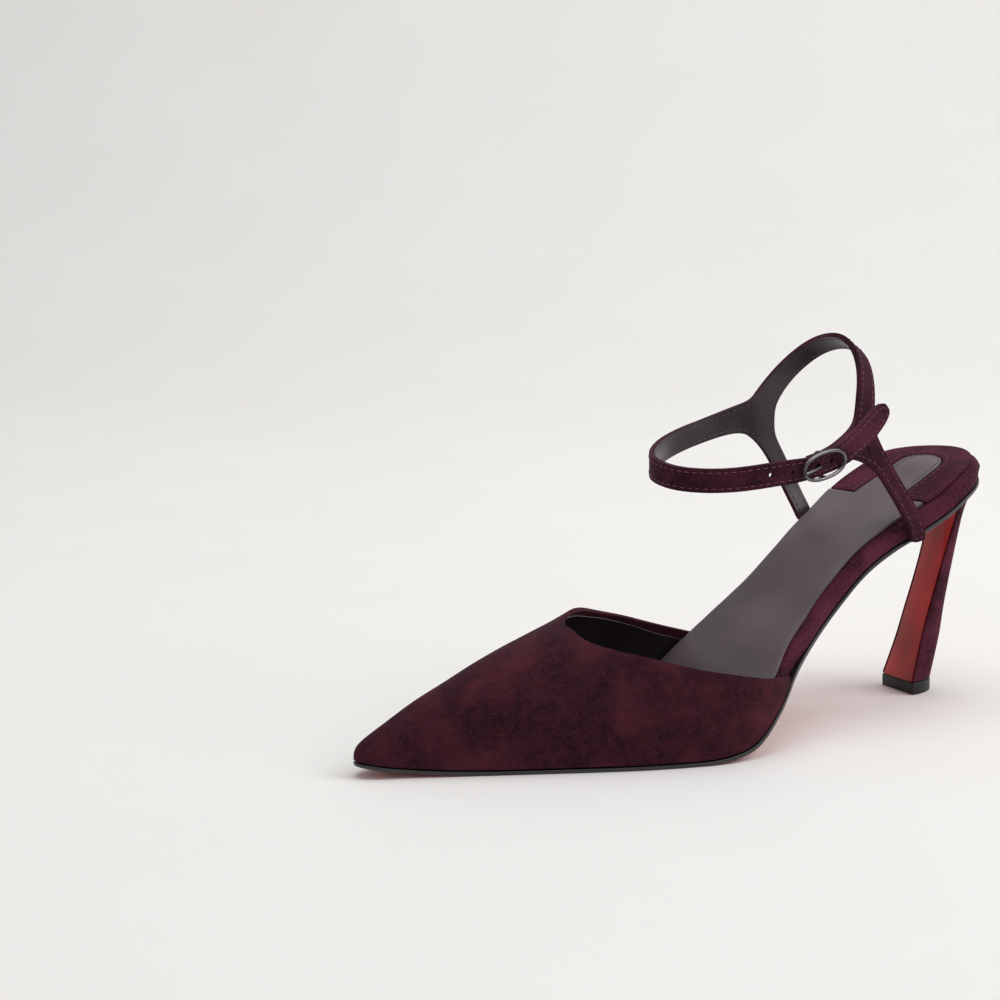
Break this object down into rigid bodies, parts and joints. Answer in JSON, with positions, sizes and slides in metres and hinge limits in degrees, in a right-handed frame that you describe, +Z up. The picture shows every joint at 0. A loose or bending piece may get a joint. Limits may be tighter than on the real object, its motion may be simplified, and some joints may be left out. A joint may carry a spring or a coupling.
{
  "type": "ankle strap pump",
  "caption": "Left high-heeled pump with closed toe, open waist, slim curved heel and a buckled ankle strap with a loop behind the ankle.",
  "frame": {"origin": "bottom centre of the bounding box, on the floor under the shoe", "axes": "+X from the toe to the heel, -Y to the outer side with the buckle, +Z up"},
  "size_m": [0.2494, 0.0836, 0.1317],
  "materials": {
    "suede": "dark burgundy suede with a short nap",
    "grey_leather": "smooth grey leather, satin",
    "black_edge": "leather sole with a black polished edge and a red lacquered underside",
    "red_lacquer": "high gloss red lacquer",
    "hard_rubber": "matte black",
    "steel": "polished, silver coloured"
  },
  "bodies": {
    "root": {"outsole": "black_edge", "footbed": "suede", "sock": "grey_leather", "heel_pad": "suede", "vamp": "suede", "heel": "suede", "heel_breast": "red_lacquer", "toplift": "hard_rubber", "ankle_strap": "suede", "buckle_frame": "steel", "buckle_prong": "steel"}
  },
  "joints": []
}
